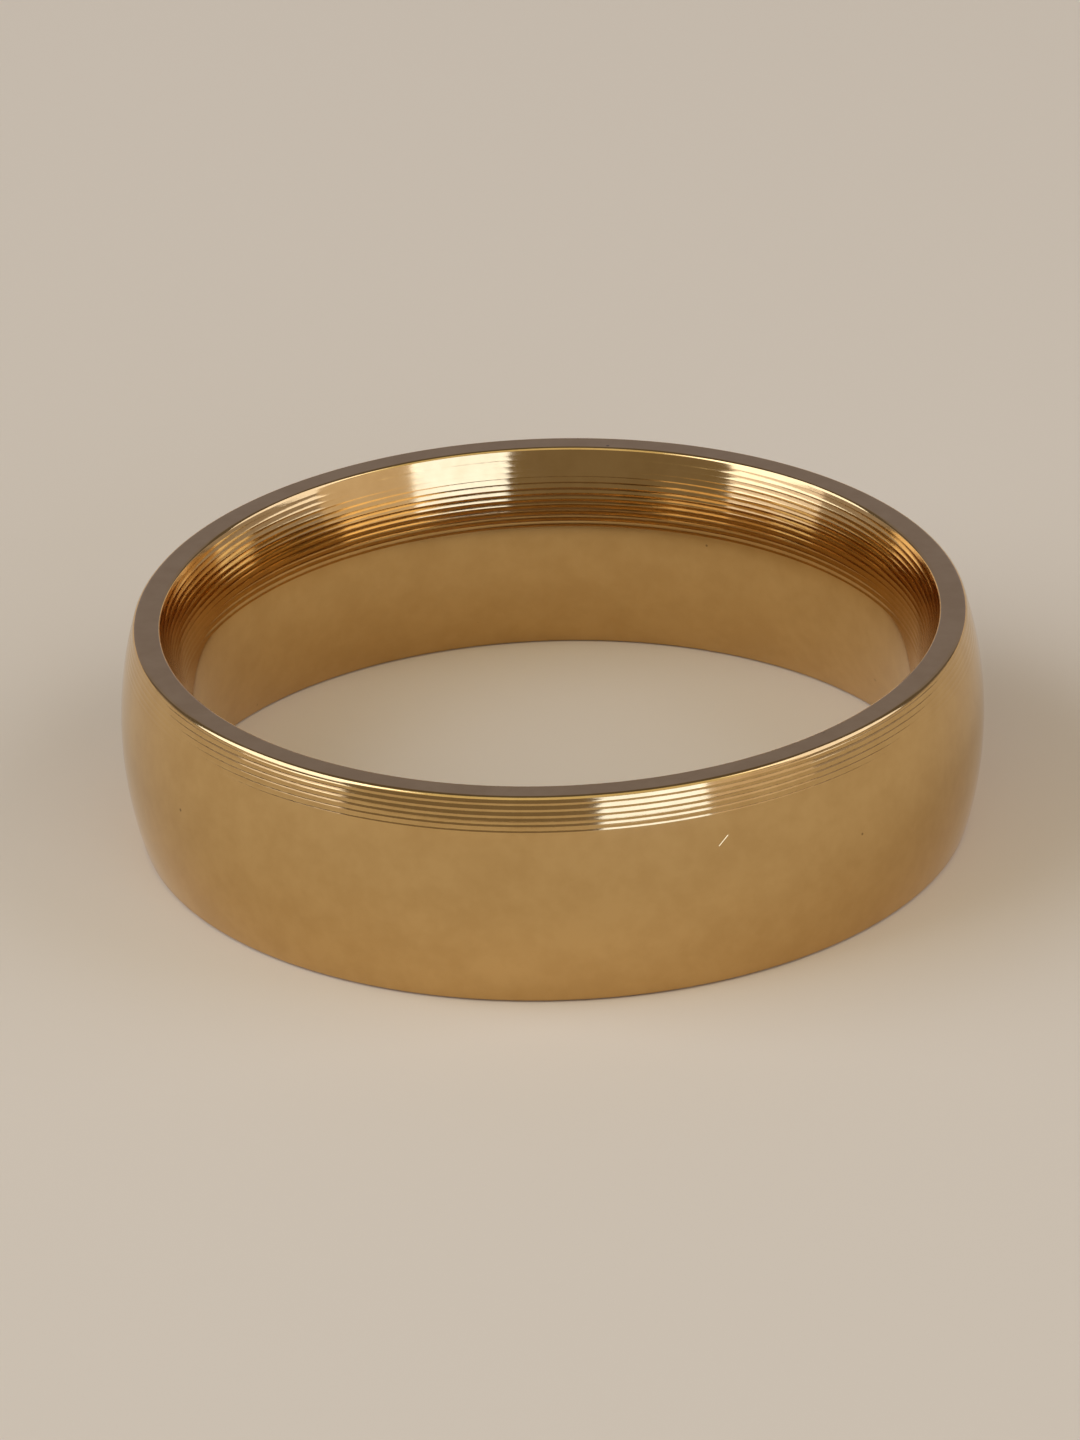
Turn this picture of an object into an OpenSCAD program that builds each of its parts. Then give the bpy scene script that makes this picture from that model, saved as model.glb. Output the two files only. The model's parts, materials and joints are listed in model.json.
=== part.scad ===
// Wedding band, turned from one piece of gold: a domed outside, a bore that is rounded
// towards both ends for comfort, a flat rim at each end, and the fine steps that the
// lathe tool left below the upper edge, outside and inside.
// The ring's axis is Z, and the band stands on its lower rim at Z = 0.

/* [Ring size] */
// Inside diameter at the middle of the band, which is the ring size
bore_d = 19.8; // [14:0.1:24]
// Width of the band, from rim to rim
band_w = 6; // [4:0.25:12]

/* [Section] */
// Width of the straight land that sizes the bore, at mid-width
land_w = 0.6; // [0.4:0.1:1.5]
// How much further out the bore is at the rims than at the land
comfort_rise = 0.63; // [0.2:0.01:0.9]
// Width of the flat rim, edges included
rim_w = 0.69; // [0.4:0.01:1.5]
// How much further out the outside is at mid-width than at the rims
dome_rise = 0.46; // [0.2:0.01:0.9]
// Radius of the rounded outer edge of each rim
outer_edge_r = 0.14; // [0.05:0.01:0.18]
// Radius of the rounded inner edge of each rim
inner_edge_r = 0.11; // [0.05:0.01:0.15]

/* [Tool steps outside] */
// How many steps there are below the upper outer edge
outer_steps = 6; // [1:1:8]
// Feed of the tool from one step to the next
outer_pitch = 0.16; // [0.1:0.005:0.2]
// Nose radius of the tool that cut the outside
outer_nose_r = 0.5; // [0.4:0.05:1.5]
// Depth of the first step, which is the deepest
outer_step_depth = 0.0075; // [0.006:0.0005:0.012]

/* [Tool steps inside] */
// How many steps there are in the upper end of the bore
inner_steps = 13; // [1:1:14]
// Feed of the tool from one step to the next
inner_pitch = 0.16; // [0.1:0.005:0.2]
// Nose radius of the boring tool
inner_nose_r = 1; // [0.4:0.05:1.2]
// Depth of each step
inner_step_depth = 0.0032; // [0.003:0.0002:0.006]
// Polished stretch between the rim and the first step
inner_polish_w = 0.09; // [0.05:0.01:1]

/* [Hidden] */

// Fineness of the rounds, and of the small arcs of edges and steps
round_fn = 240;
arc_fn = 96;
// The first outer step is centred this share of the feed above the end of the dome
first_step_lead = 0.1;
// An outer step keeps this share of the first one's depth when it is the last of its row
last_step_share = 0.45;
// Angle at which an edge round crosses the faces that it joins
edge_cross_a = 8;

half_w = band_w / 2;
bore_r = bore_d / 2;
rim_in_r = bore_r + comfort_rise;
rim_out_r = rim_in_r + rim_w;
crown_r = rim_out_r + dome_rise;

// The dome is one arc through the crown and the rims' outer edges.
dome_r = (half_w ^ 2 + dome_rise ^ 2) / (2 * dome_rise);
dome_c = [crown_r - dome_r, half_w];

// The comfort curve is one arc through the land's ends and the rims' inner edges.
comfort_run = (comfort_rise ^ 2 + half_w ^ 2 - (land_w / 2) ^ 2) / (2 * comfort_rise);
comfort_r = sqrt(comfort_run ^ 2 + (land_w / 2) ^ 2);
comfort_c = [bore_r + comfort_run, half_w];

// Depth of each edge round's centre below the two faces that it joins. It is a little
// less than the radius, so that the round crosses them at a small angle.
outer_edge_in = outer_edge_r * cos(edge_cross_a);
inner_edge_in = inner_edge_r * cos(edge_cross_a);

// Centres of the upper edge rounds
outer_edge_c = [
    dome_c.x + sqrt((dome_r - outer_edge_in) ^ 2 - (half_w - outer_edge_in) ^ 2),
    band_w - outer_edge_in
];
inner_edge_c = [
    comfort_c.x - sqrt((comfort_r - inner_edge_in) ^ 2 - (half_w - inner_edge_in) ^ 2),
    band_w - inner_edge_in
];

// Angles about the arcs' centres at which the edge rounds meet the dome and the bore
dome_end_a = asin((half_w - outer_edge_in) / (dome_r - outer_edge_in));
comfort_end_a = asin((half_w - inner_edge_in) / (comfort_r - inner_edge_in));

// Degrees of arc that a length takes up on a curve of radius r
function arc_a(length, r) = length / r * 180 / PI;

// Depth of step i in a row of n, which gets shallower away from the rim
function step_depth(first, i, n) = n < 2 ? first : first * (1 - (1 - last_step_share) * i / (n - 1));

// What lies outside the rounded edge in one corner of the section: c is the centre of
// the round, r its radius, side is 1 for an outer edge and -1 for an inner one, and
// end_a is the angle above the horizontal at which the round ends.
module edge_waste(c, r, side, end_a) {
    reach = 2 * r;
    difference() {
        polygon([
            c,
            [c.x, c.y + reach],
            [c.x + side * reach, c.y + reach],
            [c.x + side * reach * cos(end_a), c.y + reach * sin(end_a)]
        ]);
        translate(c) circle(r = r, $fn = arc_fn);
    }
}

// Corner waste at the upper rim, outside and inside
module rim_edge_waste() {
    edge_waste(outer_edge_c, outer_edge_r, 1, dome_end_a);
    edge_waste(inner_edge_c, inner_edge_r, -1, comfort_end_a);
}

// Round tool marks side by side in the dome. The edge round cuts off the first one's upper half.
module outer_tool_marks() {
    for (i = [0 : outer_steps - 1]) {
        a = dome_end_a - arc_a((i - first_step_lead) * outer_pitch, dome_r);
        d = dome_r + outer_nose_r - step_depth(outer_step_depth, i, outer_steps);
        translate([dome_c.x + d * cos(a), dome_c.y + d * sin(a)])
            circle(r = outer_nose_r, $fn = round_fn);
    }
}

// Round tool marks side by side in the bore, from the polished stretch down
module inner_tool_marks() {
    for (i = [0 : inner_steps - 1]) {
        a = comfort_end_a - arc_a(inner_polish_w + (i + 0.5) * inner_pitch, comfort_r);
        d = comfort_r + inner_nose_r - inner_step_depth;
        translate([comfort_c.x - d * cos(a), comfort_c.y + d * sin(a)])
            circle(r = inner_nose_r, $fn = round_fn);
    }
}

// Half section of the band in the plane of the axis, X being the distance from it
module section() {
    difference() {
        intersection() {
            translate([bore_r, 0]) square([crown_r, band_w]);
            translate(dome_c) circle(r = dome_r, $fn = round_fn);
            translate(comfort_c) circle(r = comfort_r, $fn = round_fn);
        }
        rim_edge_waste();
        translate([0, band_w]) mirror([0, 1]) rim_edge_waste();
        outer_tool_marks();
        inner_tool_marks();
    }
}

// The band itself
module band() {
    color("#b48a50") rotate_extrude($fn = round_fn) section();
}

band();
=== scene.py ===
"""Turns and polishes a domed, comfort-fit wedding band and sets it on a pale stage."""
import json
import math

import bpy
import numpy as np
from bpy.props import FloatProperty, FloatVectorProperty, IntProperty, PointerProperty
from mathutils import Matrix, Vector


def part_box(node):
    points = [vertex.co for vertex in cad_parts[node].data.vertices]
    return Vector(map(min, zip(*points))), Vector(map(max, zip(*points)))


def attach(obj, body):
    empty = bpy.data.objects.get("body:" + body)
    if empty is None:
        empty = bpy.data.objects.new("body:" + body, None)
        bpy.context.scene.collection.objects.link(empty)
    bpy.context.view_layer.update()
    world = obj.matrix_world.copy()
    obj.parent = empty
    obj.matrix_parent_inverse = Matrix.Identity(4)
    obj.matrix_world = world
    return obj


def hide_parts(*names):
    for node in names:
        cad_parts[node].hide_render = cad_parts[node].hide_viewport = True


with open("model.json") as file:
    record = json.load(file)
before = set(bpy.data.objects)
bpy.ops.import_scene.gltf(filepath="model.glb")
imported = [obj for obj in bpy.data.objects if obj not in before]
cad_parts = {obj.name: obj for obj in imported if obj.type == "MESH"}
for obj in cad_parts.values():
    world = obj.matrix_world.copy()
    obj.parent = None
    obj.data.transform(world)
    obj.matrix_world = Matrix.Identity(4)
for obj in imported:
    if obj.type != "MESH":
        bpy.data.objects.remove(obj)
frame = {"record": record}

bl_info = {
    "name": "Wedding Band",
    "version": (1, 0, 0),
    "blender": (4, 5, 0),
    "location": "3D View > Sidebar > Wedding Band",
    "description": "Turns and polishes a domed wedding band and sets it on a pale stage",
    "category": "Add Mesh",
}

MM = 0.001
NODE = "band"
BODY = "root"
SLOT = "polished_gold"

# What the frame says of the band: its box, and the bore that a finger goes through.
BOX_LOW, BOX_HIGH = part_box(NODE)
BORE = next(m for m in frame["record"]["mounts"] if m["name"] == "finger_bore")


# ---------------------------------------------------------------------------
# Sizes and colours that a user would change
# ---------------------------------------------------------------------------

def length(name, description, default, smallest=0.0):
    """A size in metres, shown in the scene's own units."""
    return FloatProperty(name=name, description=description, default=default, min=smallest,
                         subtype="DISTANCE", unit="LENGTH", precision=6)


def share(name, description, default):
    """A share, from none to all."""
    return FloatProperty(name=name, description=description, default=default, min=0.0, max=1.0,
                         subtype="FACTOR")


def number(name, description, default, smallest, largest):
    """A whole number."""
    return IntProperty(name=name, description=description, default=default, min=smallest, max=largest)


def angle(name, description, degrees):
    """An angle, stored in radians and shown in degrees."""
    return FloatProperty(name=name, description=description, default=math.radians(degrees),
                         subtype="ANGLE", unit="ROTATION")


def colour(name, description, default):
    """A linear colour."""
    return FloatVectorProperty(name=name, description=description, default=default,
                               subtype="COLOR", size=3, min=0.0, soft_max=1.0)


class BandSizes(bpy.types.PropertyGroup):
    """Sizes of the turned band. Its width, outside and bore come from the frame."""
    crown_r: length("Crown radius", "Outside radius at mid-width", min(BOX_HIGH.x, BOX_HIGH.y))
    width: length("Width", "Width of the band from rim to rim", BOX_HIGH.z - BOX_LOW.z)
    bore_r: length("Bore radius", "Radius of the bore at mid-width", BORE["dims"]["r_mm"] * MM)
    land_w: length("Land width", "Straight stretch in the middle of the bore", BORE["dims"]["length_mm"] * MM)
    comfort_rise: length("Comfort rise", "How much further out the bore is at the rims", 0.63 * MM)
    rim_w: length("Rim width", "Width of the flat rims, edges included", 0.69 * MM)
    outer_edge_r: length("Outer edge radius", "Rounding of the rims' outer edges", 0.14 * MM)
    inner_edge_r: length("Inner edge radius", "Rounding of the rims' inner edges", 0.11 * MM)
    outer_steps: number("Outer steps", "Tool steps below the upper outer edge", 6, 1, 8)
    outer_pitch: length("Outer pitch", "Feed of the tool between outer steps", 0.16 * MM)
    outer_nose_r: length("Outer nose radius", "Nose radius of the turning tool", 0.5 * MM)
    outer_depth: length("Outer step depth", "Depth of the first outer step", 0.0075 * MM)
    first_step_lead: share("First step lead", "How much of the feed the first outer step is raised by", 0.1)
    last_step_share: share("Last step", "Share of the first one's depth that the last outer step keeps", 0.45)
    inner_steps: number("Inner steps", "Tool steps in the upper end of the bore", 13, 1, 14)
    inner_pitch: length("Inner pitch", "Feed of the tool between inner steps", 0.16 * MM)
    inner_nose_r: length("Inner nose radius", "Nose radius of the boring tool", 1.0 * MM)
    inner_depth: length("Inner step depth", "Depth of each inner step", 0.0032 * MM)
    inner_polish_w: length("Polished mouth", "Polished stretch between rim and first inner step", 0.09 * MM)
    turns: number("Facets round", "Faces in one turn of the mesh", 288, 64, 720)


class GoldFinish(bpy.types.PropertyGroup):
    """Colour, polish and wear of the gold."""
    metal: colour("Gold", "Colour of the polished metal seen head on", (0.65, 0.432, 0.182))
    shade: colour("Shaded gold", "Colour of the metal where handling has dulled it", (0.60, 0.39, 0.158))
    grime: colour("Grime", "Colour of the tiny specks that stick to it", (0.16, 0.09, 0.04))
    edge_tint: colour("Edge tint", "Colour of the metal at a grazing angle", (1.0, 1.0, 1.0))
    roughness: share("Roughness", "Roughness of the buffed surface", 0.06)
    turned_roughness: share("Turned roughness", "Roughness added where the tool marks are", 0.015)
    streak_depth: length("Streak depth", "Depth of the buffing streaks", 0.00008 * MM)
    chatter_depth: length("Chatter depth", "Depth of the fine lines among the tool marks", 0.00035 * MM)
    nick_depth: length("Nick depth", "Depth of the few short nicks", 0.007 * MM)
    speck_r: length("Speck size", "Radius of the largest specks", 0.05 * MM)


class StageLook(bpy.types.PropertyGroup):
    """Floor, lights and camera."""
    floor: colour("Floor", "Colour of the pale floor", (0.74, 0.61, 0.43))
    room: colour("Room", "Dim warm light of the room all round", (0.145, 0.13, 0.12))
    back_wall: colour("Back light", "Cool light from behind, which the flat rims show", (0.09, 0.105, 0.20))
    window: colour("Window light", "Cool light of the card to the right of the camera", (1.27, 1.68, 2.90))
    left_low: colour("Left light, low", "Light of the lower card to the left", (0.86, 0.88, 1.15))
    left_high: colour("Left light, high", "Light of the upper card to the left", (1.60, 1.92, 2.80))
    front: colour("Front light", "Faint warm light of the gap between the window and the left cards",
                  (0.085, 0.065, 0.035))
    right_low: colour("Right light, low", "Light of the lower card to the right", (0.53, 0.48, 0.47))
    right_high: colour("Right light, high", "Light of the upper card to the right", (1.10, 1.22, 1.70))
    back_low: colour("Back light, low", "Warm light from low behind, as from cloth that rises there",
                     (0.50, 0.43, 0.36))
    side_low: colour("Far light", "Faint low light far to the left and the right", (0.22, 0.20, 0.22))
    overhead: colour("Overhead light", "Light of the large soft card overhead", (0.55, 0.53, 0.38))
    view_elevation: angle("Camera elevation", "Height of the camera over the band's foot", 26.7)
    view_roll: angle("Camera roll", "Turn of the camera about its own line of sight", -1.865)
    view_distance: length("Camera distance", "From the centre of the band's foot to the camera", 268.7 * MM)
    focal_length: FloatProperty(name="Focal length", description="Focal length of the lens in millimetres",
                                default=246.9, min=10.0)


# ---------------------------------------------------------------------------
# The band's section
# ---------------------------------------------------------------------------

# How many faces the mesh has along each stretch of the section
DOME_FACES = 44
COMFORT_FACES = 24
UPPER_BORE_FACES = 16
LAND_FACES = 4
RIM_FACES = 3
OUTER_EDGE_FACES = 9
INNER_EDGE_FACES = 5
MARK_FACES = 8
BETWEEN_FACES = 2


def polar(centre, radius, at):
    """The point at an angle on a circle of the section."""
    return np.array([centre[0] + radius * math.cos(at), centre[1] + radius * math.sin(at)])


def crossing(centre_a, radius_a, centre_b, radius_b, near):
    """Where two circles cross, taking the crossing that is closer to a point."""
    across = centre_b - centre_a
    span = float(np.hypot(*across))
    along = (radius_a ** 2 - radius_b ** 2 + span ** 2) / (2 * span)
    height = math.sqrt(max(radius_a ** 2 - along ** 2, 0.0))
    foot = centre_a + across / span * along
    side = np.array([-across[1], across[0]]) / span * height
    return min((foot + side, foot - side), key=lambda p: float(np.hypot(*(p - near))))


def arc(centre, radius, start, end, count, hollow=False):
    """A stretch of the section along a circle between two points, with its outward normals."""
    from_a = math.atan2(start[1] - centre[1], start[0] - centre[0])
    to_a = math.atan2(end[1] - centre[1], end[0] - centre[0])
    turn = (to_a - from_a + math.pi) % (2 * math.pi) - math.pi
    at = from_a + turn * np.linspace(0.0, 1.0, count + 1)
    out = np.stack([np.cos(at), np.sin(at)], axis=1)
    return np.asarray(centre) + radius * out, -out if hollow else out


def straight(start, end, normal, count):
    """A straight stretch of the section with one normal."""
    along = np.linspace(0.0, 1.0, count + 1)[:, None]
    return start + (end - start) * along, np.tile(np.asarray(normal, float), (count + 1, 1))


def tool_marks(centre, radius, nose_r, pitch, depth, steps, first_a, last_share=1.0):
    """Centres of the round tool at each step, from the angle first_a down, on a curve that bulges
    to +X. The last step keeps last_share of the first one's depth."""
    marks = []
    for step in range(steps):
        fade = 1.0 - (1.0 - last_share) * step / max(steps - 1, 1)
        at = first_a - step * pitch / radius
        marks.append(polar(centre, radius + nose_r - depth * fade, at))
    return marks


def tooled_curve(centre, radius, marks, nose_r, low, high, edge, smooth_count):
    """Stretches up a curve that bulges to +X, from low to high, with the tool marks cut into it,
    and the point where they end. edge is the rounded edge above, as (centre, radius), where the
    topmost mark may reach it. smooth_count is how many faces the unmarked part has."""
    stretches = []
    at = low
    rising = marks[::-1]
    for i, tool in enumerate(rising):
        toward = tool - (tool - centre) / np.hypot(*(tool - centre)) * nose_r
        mark_a = math.atan2(*(toward - centre)[::-1])
        aside = 0.5 * nose_r / radius
        below = polar(centre, radius, mark_a - aside)
        start = crossing(tool, nose_r, centre, radius, below)
        if start[1] > at[1]:
            count = smooth_count if i == 0 else BETWEEN_FACES
            stretches.append(arc(centre, radius, at, start, count))
            at = start
        above = polar(centre, radius, mark_a + aside)
        end = crossing(tool, nose_r, centre, radius, above)
        if i + 1 < len(rising):
            cusp = crossing(tool, nose_r, rising[i + 1], nose_r, toward)
            if np.hypot(*(cusp - centre)) < radius:
                end = cusp
        elif end[1] > high[1]:
            end = crossing(tool, nose_r, edge[0], edge[1], high)
        stretches.append(arc(tool, nose_r, at, end, MARK_FACES, hollow=True))
        at = end
    if at[1] < high[1]:
        stretches.append(arc(centre, radius, at, high, smooth_count // 2))
        at = high
    return stretches, at


def mirrored(stretches):
    """The same stretches of a section, run the other way and bulging to -X."""
    flip = np.array([-1.0, 1.0])
    return [(points[::-1] * flip, normals[::-1] * flip) for points, normals in reversed(stretches)]


def band_section(s):
    """The closed section of the band, anticlockwise from the foot of the dome, as stretches of
    points (distance from the axis, height) and normals."""
    half = s.width / 2
    rim_in_r = s.bore_r + s.comfort_rise
    rim_out_r = rim_in_r + s.rim_w
    rise = s.crown_r - rim_out_r

    # Outside: the dome, its rounded edges and the tool steps.
    dome_r = (half ** 2 + rise ** 2) / (2 * rise)
    dome_c = np.array([s.crown_r - dome_r, half])
    edge_r = s.outer_edge_r
    edge_x = dome_c[0] + math.sqrt((dome_r - edge_r) ** 2 - (half - edge_r) ** 2)
    edge_low = np.array([edge_x, edge_r])
    edge_high = np.array([edge_x, s.width - edge_r])
    end_a = math.asin((half - edge_r) / (dome_r - edge_r))
    first_a = end_a + s.first_step_lead * s.outer_pitch / dome_r
    marks = tool_marks(dome_c, dome_r, s.outer_nose_r, s.outer_pitch, s.outer_depth, s.outer_steps, first_a,
                       s.last_step_share)
    outside, top = tooled_curve(dome_c, dome_r, marks, s.outer_nose_r, polar(dome_c, dome_r, -end_a),
                                polar(dome_c, dome_r, end_a), (edge_high, edge_r), DOME_FACES)
    foot_out = np.array([edge_x, 0.0])
    head_out = np.array([edge_x, s.width])
    outside.insert(0, arc(edge_low, edge_r, foot_out, outside[0][0][0], OUTER_EDGE_FACES))
    outside.append(arc(edge_high, edge_r, top, head_out, OUTER_EDGE_FACES))

    # Inside: worked out as a curve that bulges to +X, then mirrored.
    run = (s.comfort_rise ** 2 + half ** 2 - (s.land_w / 2) ** 2) / (2 * s.comfort_rise)
    comfort_r = math.hypot(run, s.land_w / 2)
    comfort_c = np.array([-(s.bore_r + run), half])
    edge_r = s.inner_edge_r
    edge_x = comfort_c[0] + math.sqrt((comfort_r - edge_r) ** 2 - (half - edge_r) ** 2)
    edge_low = np.array([edge_x, edge_r])
    edge_high = np.array([edge_x, s.width - edge_r])
    end_a = math.asin((half - edge_r) / (comfort_r - edge_r))
    first_a = end_a - (s.inner_polish_w + 0.5 * s.inner_pitch) / comfort_r
    marks = tool_marks(comfort_c, comfort_r, s.inner_nose_r, s.inner_pitch, s.inner_depth, s.inner_steps,
                       first_a)
    land_a = math.asin(s.land_w / 2 / comfort_r)
    land_low = polar(comfort_c, comfort_r, -land_a)
    land_high = polar(comfort_c, comfort_r, land_a)
    lower = arc(comfort_c, comfort_r, polar(comfort_c, comfort_r, -end_a), land_low, COMFORT_FACES)
    # The land is polished into the curve on either side, so it takes the curve's normals.
    land_points = straight(land_low, land_high, (1.0, 0.0), LAND_FACES)[0]
    land_normals = (land_points - comfort_c) / np.hypot(*(land_points - comfort_c).T)[:, None]
    upper, top = tooled_curve(comfort_c, comfort_r, marks, s.inner_nose_r, land_high,
                              polar(comfort_c, comfort_r, end_a), (edge_high, edge_r), UPPER_BORE_FACES)
    foot_in = np.array([edge_x, 0.0])
    head_in = np.array([edge_x, s.width])
    inside = [arc(edge_low, edge_r, foot_in, lower[0][0], INNER_EDGE_FACES), lower,
              (land_points, land_normals)]
    inside += upper + [arc(edge_high, edge_r, top, head_in, INNER_EDGE_FACES)]
    inside = mirrored(inside)

    rim_top = straight(head_out, inside[0][0][0], (0.0, 1.0), RIM_FACES)
    rim_foot = straight(inside[-1][0][-1], foot_out, (0.0, -1.0), RIM_FACES)
    return outside + [rim_top] + inside + [rim_foot]


def turned_mesh(name, section, turns):
    """Revolves the stretches of a section about Z. Each keeps its own normals, so that the ridges
    between steps are crisp and the polish is smooth."""
    points = np.concatenate([p[:-1] for p, _ in section])
    first = np.concatenate([n[:-1] for _, n in section])
    last = np.concatenate([n[1:] for _, n in section])
    count = len(points)
    at = np.arange(turns) * (2 * math.pi / turns)
    cos, sin = np.cos(at)[:, None], np.sin(at)[:, None]
    verts = np.stack([cos * points[:, 0], sin * points[:, 0],
                      np.broadcast_to(points[:, 1], (turns, count))], axis=2)

    here = np.arange(turns)[:, None] * count
    there = (np.arange(turns)[:, None] + 1) % turns * count
    row = np.arange(count)[None, :]
    above = (np.arange(count)[None, :] + 1) % count
    faces = np.stack([here + row, there + row, there + above, here + above], axis=2)

    def swept(normals, shift):
        """The section's normals at every turn, or at the turn shift places on."""
        c, s = np.roll(cos, -shift, axis=0), np.roll(sin, -shift, axis=0)
        return np.stack([c * normals[:, 0], s * normals[:, 0],
                         np.broadcast_to(normals[:, 1], (turns, count))], axis=2)

    corner_normals = np.stack([swept(first, 0), swept(first, 1), swept(last, 1), swept(last, 0)], axis=2)
    mesh = bpy.data.meshes.new(name)
    mesh.from_pydata(verts.reshape(-1, 3).tolist(), [], faces.reshape(-1, 4).tolist())
    mesh.shade_smooth()
    mesh.normals_split_custom_set(corner_normals.reshape(-1, 3).tolist())
    mesh.update()
    return mesh


# ---------------------------------------------------------------------------
# The gold
# ---------------------------------------------------------------------------

# From one buffing streak to the next, and from one fine line among the tool marks to the next
STREAK_W = 0.03 * MM
CHATTER_W = 0.02 * MM
# Sizes of the patches of haze and of the smudges of handling
HAZE_SIZE = 1.1 * MM
SMUDGE_SIZE = 0.35 * MM
# How far apart the specks are, and how fully they cover the gold
SPECK_GAP = 0.9 * MM
SPECK_STRENGTH = 0.7
# Short nicks outside: way round from the camera's side and height, lean, length and breadth,
# in degrees and millimetres
NICKS = (
    (22.0, 4.35, 42.0, 0.46, 0.05),
    (-118.0, 3.1, -62.0, 0.5, 0.03),
    (164.0, 2.2, 25.0, 0.35, 0.03),
    (74.0, 3.9, -20.0, 0.3, 0.025),
)

class Nodes:
    """Short calls for building a node tree."""

    def __init__(self, tree):
        self.tree = tree
        tree.nodes.clear()

    def add(self, kind, **settings):
        """A new node with its settings."""
        node = self.tree.nodes.new(kind)
        for key, value in settings.items():
            setattr(node, key, value)
        return node

    def feed(self, socket, value):
        """Gives a socket a fixed value, or links it to another node's socket."""
        if isinstance(value, bpy.types.NodeSocket):
            self.tree.links.new(value, socket)
        else:
            socket.default_value = value

    def math(self, operation, *values):
        """The result of a Math node."""
        node = self.add("ShaderNodeMath", operation=operation)
        for socket, value in zip(node.inputs, values):
            self.feed(socket, value)
        return node.outputs[0]

    def remap(self, value, low, high, to_low, to_high):
        """A value moved from one range to another and kept inside it."""
        node = self.add("ShaderNodeMapRange", clamp=True)
        for socket, v in zip(node.inputs, (value, low, high, to_low, to_high)):
            self.feed(socket, v)
        return node.outputs[0]


class LatheNodes(Nodes):
    """Nodes that know the lathe coordinates: distance from the axis, height, and the way round as a
    point on a circle."""

    def __init__(self, tree):
        super().__init__(tree)
        self.place = self.add("ShaderNodeTexCoord").outputs["Object"]
        xyz = self.add("ShaderNodeSeparateXYZ")
        self.feed(xyz.inputs[0], self.place)
        across, along, self.height = xyz.outputs
        self.radius = self.math("SQRT", self.math("ADD", self.math("MULTIPLY", across, across),
                                                  self.math("MULTIPLY", along, along)))
        self.way_x = self.math("DIVIDE", across, self.radius)
        self.way_y = self.math("DIVIDE", along, self.radius)

    def streaks(self, fine, round_count, detail):
        """Noise that is fine across the band, fine metres from streak to streak, and long round it."""
        joined = self.add("ShaderNodeCombineXYZ")
        self.feed(joined.inputs[0], self.math("MULTIPLY", self.radius, 1.0 / fine))
        self.feed(joined.inputs[1], self.math("MULTIPLY", self.height, 1.0 / fine))
        self.feed(joined.inputs[2], self.math("MULTIPLY", self.way_x, round_count))
        noise = self.add("ShaderNodeTexNoise", noise_dimensions="4D")
        self.feed(noise.inputs["Vector"], joined.outputs[0])
        self.feed(noise.inputs["W"], self.math("MULTIPLY", self.way_y, round_count))
        noise.inputs["Scale"].default_value = 1.0
        noise.inputs["Detail"].default_value = detail
        return noise.outputs["Fac"]

    def clouds(self, size, detail):
        """Noise with patches of the given size."""
        noise = self.add("ShaderNodeTexNoise")
        self.feed(noise.inputs["Vector"], self.place)
        noise.inputs["Scale"].default_value = 1.0 / size
        noise.inputs["Detail"].default_value = detail
        return noise.outputs["Fac"]

    def specks(self, gap, largest_r):
        """One on tiny specks of many sizes, about a gap apart."""
        dots = self.add("ShaderNodeTexVoronoi")
        self.feed(dots.inputs["Vector"], self.place)
        dots.inputs["Scale"].default_value = 1.0 / gap
        pick = self.add("ShaderNodeSeparateColor")
        self.feed(pick.inputs[0], dots.outputs["Color"])
        speck_r = self.math("MULTIPLY", self.math("POWER", pick.outputs[0], 3.0), largest_r / gap)
        return self.remap(self.math("SUBTRACT", dots.outputs["Distance"], speck_r), -0.01, 0.01, 1.0, 0.0)

    def nick(self, sizes, way, level, lean, size, breadth):
        """One where a short straight nick lies outside, in a direction round the band, at a height."""
        centre_x, centre_y = math.sin(math.radians(way)), -math.cos(math.radians(way))
        round_it = self.math("MULTIPLY", self.math("ADD", self.math("MULTIPLY", self.way_x, -centre_y),
                                                   self.math("MULTIPLY", self.way_y, centre_x)),
                             sizes.crown_r)
        facing = self.math("ADD", self.math("MULTIPLY", self.way_x, centre_x),
                           self.math("MULTIPLY", self.way_y, centre_y))
        up = self.math("SUBTRACT", self.height, level)
        c, s = math.cos(math.radians(lean)), math.sin(math.radians(lean))
        lengthwise = self.math("ADD", self.math("MULTIPLY", round_it, c), self.math("MULTIPLY", up, s))
        sideways = self.math("SUBTRACT", self.math("MULTIPLY", up, c), self.math("MULTIPLY", round_it, s))
        in_length = self.remap(self.math("ABSOLUTE", lengthwise), size / 2, size / 3, 0.0, 1.0)
        in_breadth = self.remap(self.math("ABSOLUTE", sideways), breadth / 2, 0.0, 0.0, 1.0)
        rim_in_r = sizes.bore_r + sizes.comfort_rise + sizes.inner_edge_r
        outside = self.math("GREATER_THAN", self.radius, rim_in_r)
        this_side = self.math("MULTIPLY", outside, self.math("GREATER_THAN", facing, 0.0))
        return self.math("MULTIPLY", self.math("MULTIPLY", in_length, in_breadth), this_side)

    def tool_zone(self, sizes):
        """One where the tool marks are: below the upper outer edge, and in the upper end of the bore."""
        outer_low = sizes.width - sizes.outer_edge_r - sizes.outer_pitch * (sizes.outer_steps + 1.5)
        inner_low = sizes.width - sizes.inner_polish_w - sizes.inner_pitch * (sizes.inner_steps + 1)
        soft = sizes.outer_pitch
        outside = self.math("GREATER_THAN", self.radius, (sizes.bore_r + sizes.crown_r) / 2)
        inside = self.math("SUBTRACT", 1.0, outside)
        outer = self.math("MULTIPLY", outside, self.remap(self.height, outer_low, outer_low + soft, 0.0, 1.0))
        inner = self.math("MULTIPLY", inside, self.remap(self.height, inner_low, inner_low + soft, 0.0, 1.0))
        return self.math("ADD", outer, inner)


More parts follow.
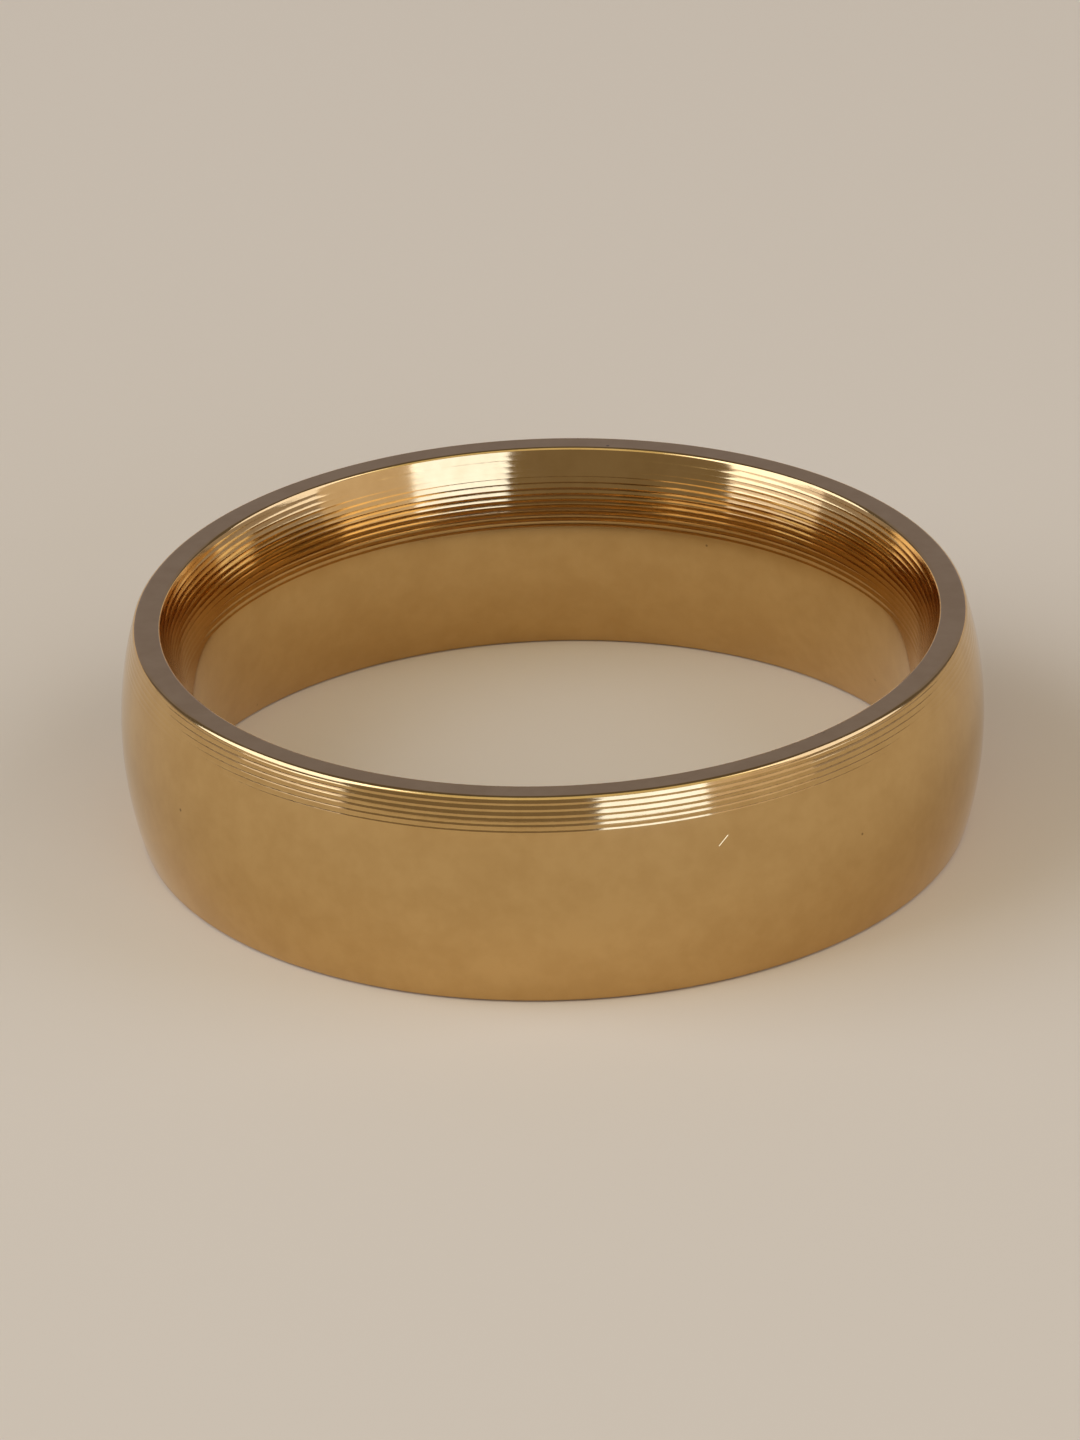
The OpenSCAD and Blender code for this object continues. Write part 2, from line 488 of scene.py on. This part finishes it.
def gold_colour(n, finish, haze):
    """Gold, browner where haze and handling have dulled it, with specks of grime."""
    tone = n.add("ShaderNodeMix", data_type="RGBA")
    handling = n.clouds(SMUDGE_SIZE, detail=3.0)
    n.feed(tone.inputs["Factor"], n.remap(n.math("ADD", haze, n.math("MULTIPLY", handling, 0.6)),
                                          0.62, 0.98, 0.0, 1.0))
    tone.inputs["A"].default_value = (*finish.metal, 1.0)
    tone.inputs["B"].default_value = (*finish.shade, 1.0)
    specked = n.add("ShaderNodeMix", data_type="RGBA")
    n.feed(specked.inputs["Factor"], n.math("MULTIPLY", n.specks(SPECK_GAP, finish.speck_r), SPECK_STRENGTH))
    n.feed(specked.inputs["A"], tone.outputs["Result"])
    specked.inputs["B"].default_value = (*finish.grime, 1.0)
    return specked.outputs["Result"]


def polished_gold(finish, sizes):
    """Buffed yellow gold: streaks run round the band, with a faint haze and small marks of wear."""
    material = bpy.data.materials.new(SLOT)
    material.use_nodes = True
    n = LatheNodes(material.node_tree)
    shader = n.add("ShaderNodeBsdfPrincipled")
    out = n.add("ShaderNodeOutputMaterial")
    n.tree.links.new(shader.outputs[0], out.inputs["Surface"])
    shader.inputs["Metallic"].default_value = 1.0
    shader.inputs["Specular Tint"].default_value = (*finish.edge_tint, 1.0)

    buffing = n.streaks(STREAK_W, round_count=6.0, detail=3.0)
    chatter = n.streaks(CHATTER_W, round_count=60.0, detail=2.0)
    haze = n.clouds(HAZE_SIZE, detail=4.0)
    marked = n.tool_zone(sizes)
    n.feed(shader.inputs["Base Color"], gold_colour(n, finish, haze))

    # The buffing streaks vary the polish a little, and the haze dulls it.
    polish = n.math("ADD", n.remap(buffing, 0.3, 0.7, -0.015, 0.02),
                    n.remap(haze, 0.35, 0.7, finish.roughness, finish.roughness + 0.03))
    n.feed(shader.inputs["Roughness"],
           n.math("ADD", polish, n.math("MULTIPLY", marked, finish.turned_roughness)))

    relief = n.math("ADD", n.math("MULTIPLY", buffing, finish.streak_depth),
                    n.math("MULTIPLY", n.math("MULTIPLY", marked, chatter), finish.chatter_depth))
    for way, level, lean, size, breadth in NICKS:
        mark = n.nick(sizes, way, level * MM, lean, size * MM, breadth * MM)
        relief = n.math("SUBTRACT", relief, n.math("MULTIPLY", mark, finish.nick_depth))
    bump = n.add("ShaderNodeBump")
    n.feed(bump.inputs["Height"], relief)
    bump.inputs["Strength"].default_value = 1.0
    bump.inputs["Distance"].default_value = 1.0
    n.feed(shader.inputs["Normal"], bump.outputs[0])
    return material


class WEDDINGBAND_OT_turn_band(bpy.types.Operator):
    """Turn the band from its section, polish it and let it stand for the plain ring"""
    bl_idname = "wedding_band.turn_band"
    bl_label = "Turn Band"

    def execute(self, context):
        sizes = context.scene.band_sizes
        mesh = turned_mesh("wedding_band", band_section(sizes), sizes.turns)
        mesh.materials.append(polished_gold(context.scene.gold_finish, sizes))
        band = bpy.data.objects.new("wedding_band", mesh)
        context.scene.collection.objects.link(band)
        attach(band, BODY)
        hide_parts(NODE)
        return {"FINISHED"}


# ---------------------------------------------------------------------------
# The stage
# ---------------------------------------------------------------------------

# Each light card, the colour in StageLook that it has, and the azimuths and elevations that it
# fills as seen from the band, in degrees. Azimuth 0 is towards the camera and 90 to its right.
CARDS = (
    ("window", "window", (11.4, 39.5), (0.0, 28.0)),
    ("left_low", "left_low", (-88.0, -56.0), (4.0, 12.0)),
    ("left_high", "left_high", (-108.0, -57.0), (12.0, 58.0)),
    ("front", "front", (-56.0, 11.4), (0.0, 46.0)),
    ("right_low", "right_low", (39.5, 70.0), (2.0, 26.0)),
    ("right_high", "right_high", (70.0, 106.0), (12.0, 58.0)),
    ("left_far", "side_low", (-128.0, -88.0), (2.0, 12.0)),
    ("right_far", "side_low", (70.0, 128.0), (2.0, 12.0)),
    ("back_low", "back_low", (128.0, 232.0), (0.0, 8.0)),
    ("back_wall", "back_wall", (140.0, 220.0), (8.0, 45.0)),
    ("overhead", "overhead", (-48.0, 48.0), (34.0, 84.0)),
)
# How far the cards hang from the band, in metres
CARD_DISTANCE = 0.6
OVERHEAD_DISTANCE = 0.7
# Light bounces this often between the walls of the bore.
BORE_BOUNCES = 12
# The floor's half width, and how far it lies below the band, in metres
FLOOR_REACH = 3.0
FLOOR_DROP = 0.00001
# Where the camera looks, to the left of the axis and just under mid-width
AIM = Vector((-0.35 * MM, 0.0, 2.72 * MM))


def plain_floor(look):
    """A wide, plain pale floor just under the band."""
    material = bpy.data.materials.new("floor_paper")
    material.use_nodes = True
    shader = material.node_tree.nodes["Principled BSDF"]
    shader.inputs["Base Color"].default_value = (*look.floor, 1.0)
    shader.inputs["Roughness"].default_value = 0.9
    shader.inputs["Specular IOR Level"].default_value = 0.1
    mesh = bpy.data.meshes.new("floor")
    mesh.from_pydata([(x * FLOOR_REACH, y * FLOOR_REACH, BOX_LOW.z - FLOOR_DROP)
                      for x, y in ((-1, -1), (1, -1), (1, 1), (-1, 1))], [], [(0, 1, 2, 3)])
    mesh.materials.append(material)
    floor = bpy.data.objects.new("floor", mesh)
    bpy.context.scene.collection.objects.link(floor)


def heading(azimuth, elevation):
    """Unit vector from the band, with azimuth 0 towards the camera and 90 to its right."""
    a, e = math.radians(azimuth), math.radians(elevation)
    return Vector((math.sin(a) * math.cos(e), -math.cos(a) * math.cos(e), math.sin(e)))


def light_card(name, light, azimuths, elevations, distance):
    """An area light square to the band that fills a range of azimuths and elevations as seen from it,
    and whose face glows with the given light."""
    toward = heading(sum(azimuths) / 2, sum(elevations) / 2)
    width, height = (2 * distance * math.tan(math.radians(span[1] - span[0]) / 2)
                     for span in (azimuths, elevations))
    lamp = bpy.data.lights.new(name, "AREA")
    lamp.shape = "RECTANGLE"
    lamp.size, lamp.size_y = width, height
    # An area light of energy E shows a radiance of E / (4 * area).
    strength = max(light)
    lamp.color = [c / strength for c in light]
    lamp.energy = strength * 4.0 * width * height
    holder = bpy.data.objects.new(name, lamp)
    holder.location = toward * distance
    holder.rotation_mode = "QUATERNION"
    holder.rotation_quaternion = (-toward).to_track_quat("-Z", "Y")
    bpy.context.scene.collection.objects.link(holder)


def place_camera(look):
    """The camera, which looks down on the band a little above its foot."""
    data = bpy.data.cameras.new("camera")
    data.lens = look.focal_length
    data.sensor_width = 36.0
    data.clip_start = 0.01
    data.clip_end = 10.0
    camera = bpy.data.objects.new("camera", data)
    back = heading(0.0, math.degrees(look.view_elevation))
    camera.location = back * look.view_distance
    level = (AIM - camera.location).to_track_quat("-Z", "Y").to_matrix().to_4x4()
    roll = Matrix.Rotation(look.view_roll, 4, "Z")
    camera.matrix_world = Matrix.Translation(camera.location) @ level @ roll
    bpy.context.scene.collection.objects.link(camera)
    bpy.context.scene.camera = camera


class WEDDINGBAND_OT_set_stage(bpy.types.Operator):
    """Lay the pale floor, hang the soft lights and place the camera"""
    bl_idname = "wedding_band.set_stage"
    bl_label = "Set Stage"

    def execute(self, context):
        look = context.scene.stage_look
        plain_floor(look)
        for name, light, azimuths, elevations in CARDS:
            distance = OVERHEAD_DISTANCE if name == "overhead" else CARD_DISTANCE
            light_card(name, getattr(look, light), azimuths, elevations, distance)
        context.scene.cycles.glossy_bounces = BORE_BOUNCES
        place_camera(look)
        world = bpy.data.worlds.new("room")
        world.use_nodes = True
        world.node_tree.nodes["Background"].inputs["Color"].default_value = (*look.room, 1.0)
        context.scene.world = world
        context.scene.view_settings.view_transform = "Standard"
        return {"FINISHED"}


class WEDDINGBAND_PT_panel(bpy.types.Panel):
    """Lists the steps that make the band and its stage"""
    bl_idname = "WEDDINGBAND_PT_panel"
    bl_label = "Wedding Band"
    bl_space_type = "VIEW_3D"
    bl_region_type = "UI"
    bl_category = "Wedding Band"

    def draw(self, context):
        for operator in (WEDDINGBAND_OT_turn_band, WEDDINGBAND_OT_set_stage):
            self.layout.operator(operator.bl_idname)
        for group in (context.scene.band_sizes, context.scene.gold_finish, context.scene.stage_look):
            box = self.layout.box()
            for name in group.__annotations__:
                box.prop(group, name)


CLASSES = (BandSizes, GoldFinish, StageLook, WEDDINGBAND_OT_turn_band, WEDDINGBAND_OT_set_stage,
           WEDDINGBAND_PT_panel)


def register():
    for cls in CLASSES:
        bpy.utils.register_class(cls)
    bpy.types.Scene.band_sizes = PointerProperty(type=BandSizes)
    bpy.types.Scene.gold_finish = PointerProperty(type=GoldFinish)
    bpy.types.Scene.stage_look = PointerProperty(type=StageLook)


def unregister():
    del bpy.types.Scene.stage_look
    del bpy.types.Scene.gold_finish
    del bpy.types.Scene.band_sizes
    for cls in reversed(CLASSES):
        bpy.utils.unregister_class(cls)


def main():
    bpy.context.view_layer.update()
    register()
    bpy.ops.wedding_band.turn_band()
    bpy.ops.wedding_band.set_stage()


if __name__ == "__main__":
    main()
